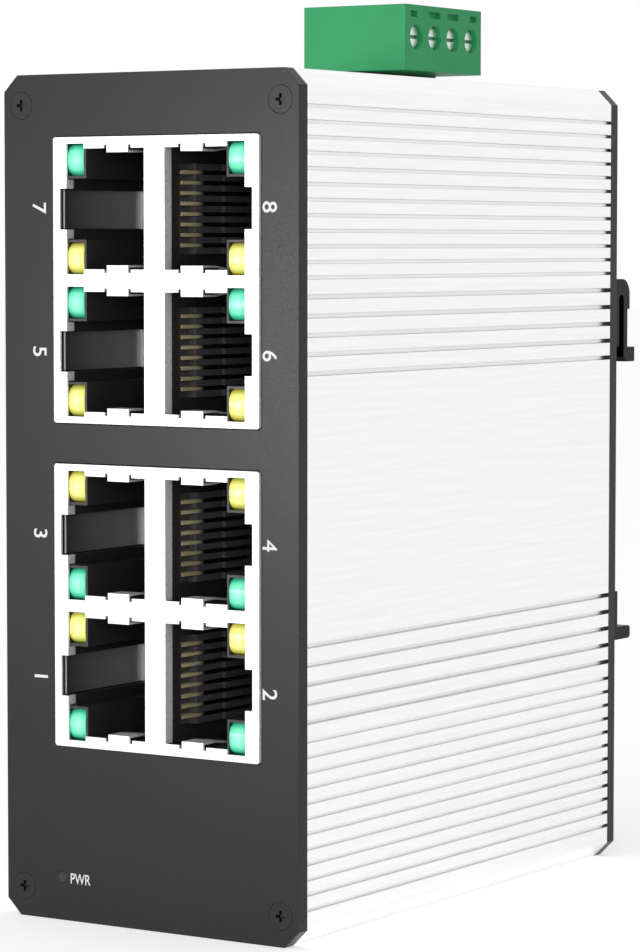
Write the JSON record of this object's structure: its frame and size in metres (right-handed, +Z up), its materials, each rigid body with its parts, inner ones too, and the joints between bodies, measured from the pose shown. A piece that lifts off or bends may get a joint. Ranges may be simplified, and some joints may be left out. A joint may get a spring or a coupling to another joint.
{
  "type": "din rail ethernet switch",
  "caption": "Slim rail-mounted network switch: grooved aluminium housing, dark end panels, stacked jacks with corner lamps in front, pluggable screw terminal on top, rail clip behind.",
  "frame": {"origin": "on the clip's seat face, at the middle of the rail", "axes": "+Z up, -Y towards the jacks, +X to the side that the clamp screws face"},
  "size_m": [0.035, 0.0692, 0.0929],
  "materials": {
    "natural_aluminium": "satin",
    "dark_panel": "satin",
    "plated_screw": "satin",
    "black_clip": "satin",
    "shield_sheet": "satin",
    "black_plastic": "matt",
    "gold_contact": "polished",
    "green_lamp": "clear",
    "yellow_lamp": "clear",
    "board": "satin",
    "black_package": "matt",
    "can_metal": "satin",
    "clear_plastic": "clear",
    "tinned_pin": "satin",
    "green_plastic": "satin",
    "plated_steel": "satin"
  },
  "bodies": {
    "switch": {"housing": "natural_aluminium", "front_panel": "dark_panel", "rear_panel": "dark_panel", "front_panel_screws": "plated_screw", "rear_panel_screws": "plated_screw", "din_clip": "black_clip", "din_clip_screws": "plated_screw", "main_board": "board", "upper_jack_shield": "shield_sheet", "upper_jack_housing": "black_plastic", "upper_contact_carriers": "black_plastic", "upper_jack_contacts": "gold_contact", "upper_green_lamps": "green_lamp", "upper_yellow_lamps": "yellow_lamp", "lower_jack_shield": "shield_sheet", "lower_jack_housing": "black_plastic", "lower_contact_carriers": "black_plastic", "lower_jack_contacts": "gold_contact", "lower_green_lamps": "green_lamp", "lower_yellow_lamps": "yellow_lamp", "switch_chip": "black_package", "transformers": "black_package", "power_inductor": "black_package", "filter_capacitors": "can_metal", "voltage_regulator": "black_package", "surge_suppressor": "black_package", "input_fuse": "black_package", "crystal": "can_metal", "power_led": "clear_plastic", "power_light_pipe": "clear_plastic", "terminal_header": "black_plastic", "header_pins": "tinned_pin"},
    "terminal_plug": {"terminal_plug_body": "green_plastic", "plug_contacts": "tinned_pin"},
    "clamp_screw_1": {"clamp_screw_1": "plated_steel"},
    "clamp_cage_1": {"clamp_cage_1": "plated_steel"},
    "clamp_screw_2": {"clamp_screw_2": "plated_steel"},
    "clamp_cage_2": {"clamp_cage_2": "plated_steel"},
    "clamp_screw_3": {"clamp_screw_3": "plated_steel"},
    "clamp_cage_3": {"clamp_cage_3": "plated_steel"},
    "clamp_screw_4": {"clamp_screw_4": "plated_steel"},
    "clamp_cage_4": {"clamp_cage_4": "plated_steel"}
  },
  "joints": [
    {"name": "plug_pull", "type": "slide", "parent": "switch", "child": "terminal_plug", "axis": [0, 0, 1], "range_m": [0, 0.012]},
    {"name": "screw_turn_1", "type": "hinge", "parent": "terminal_plug", "child": "clamp_screw_1", "pos_m": [0.002, -0.01946, 0.04685], "axis": [-1, 0, 0], "range_deg": [0, 1800]},
    {"name": "cage_rise_1", "type": "slide", "parent": "terminal_plug", "child": "clamp_cage_1", "axis": [1, 0, 0], "range_m": [0, 0.002]},
    {"name": "screw_turn_2", "type": "hinge", "parent": "terminal_plug", "child": "clamp_screw_2", "pos_m": [0.002, -0.01565, 0.04685], "axis": [-1, 0, 0], "range_deg": [0, 1800]},
    {"name": "cage_rise_2", "type": "slide", "parent": "terminal_plug", "child": "clamp_cage_2", "axis": [1, 0, 0], "range_m": [0, 0.002]},
    {"name": "screw_turn_3", "type": "hinge", "parent": "terminal_plug", "child": "clamp_screw_3", "pos_m": [0.002, -0.01184, 0.04685], "axis": [-1, 0, 0], "range_deg": [0, 1800]},
    {"name": "cage_rise_3", "type": "slide", "parent": "terminal_plug", "child": "clamp_cage_3", "axis": [1, 0, 0], "range_m": [0, 0.002]},
    {"name": "screw_turn_4", "type": "hinge", "parent": "terminal_plug", "child": "clamp_screw_4", "pos_m": [0.002, -0.00804, 0.04685], "axis": [-1, 0, 0], "range_deg": [0, 1800]},
    {"name": "cage_rise_4", "type": "slide", "parent": "terminal_plug", "child": "clamp_cage_4", "axis": [1, 0, 0], "range_m": [0, 0.002]}
  ],
  "couplings": [
    {"joint": "screw_turn_1", "follows": "cage_rise_1", "rad_per_m": 15708},
    {"joint": "screw_turn_2", "follows": "cage_rise_2", "rad_per_m": 15708},
    {"joint": "screw_turn_3", "follows": "cage_rise_3", "rad_per_m": 15708},
    {"joint": "screw_turn_4", "follows": "cage_rise_4", "rad_per_m": 15708}
  ]
}
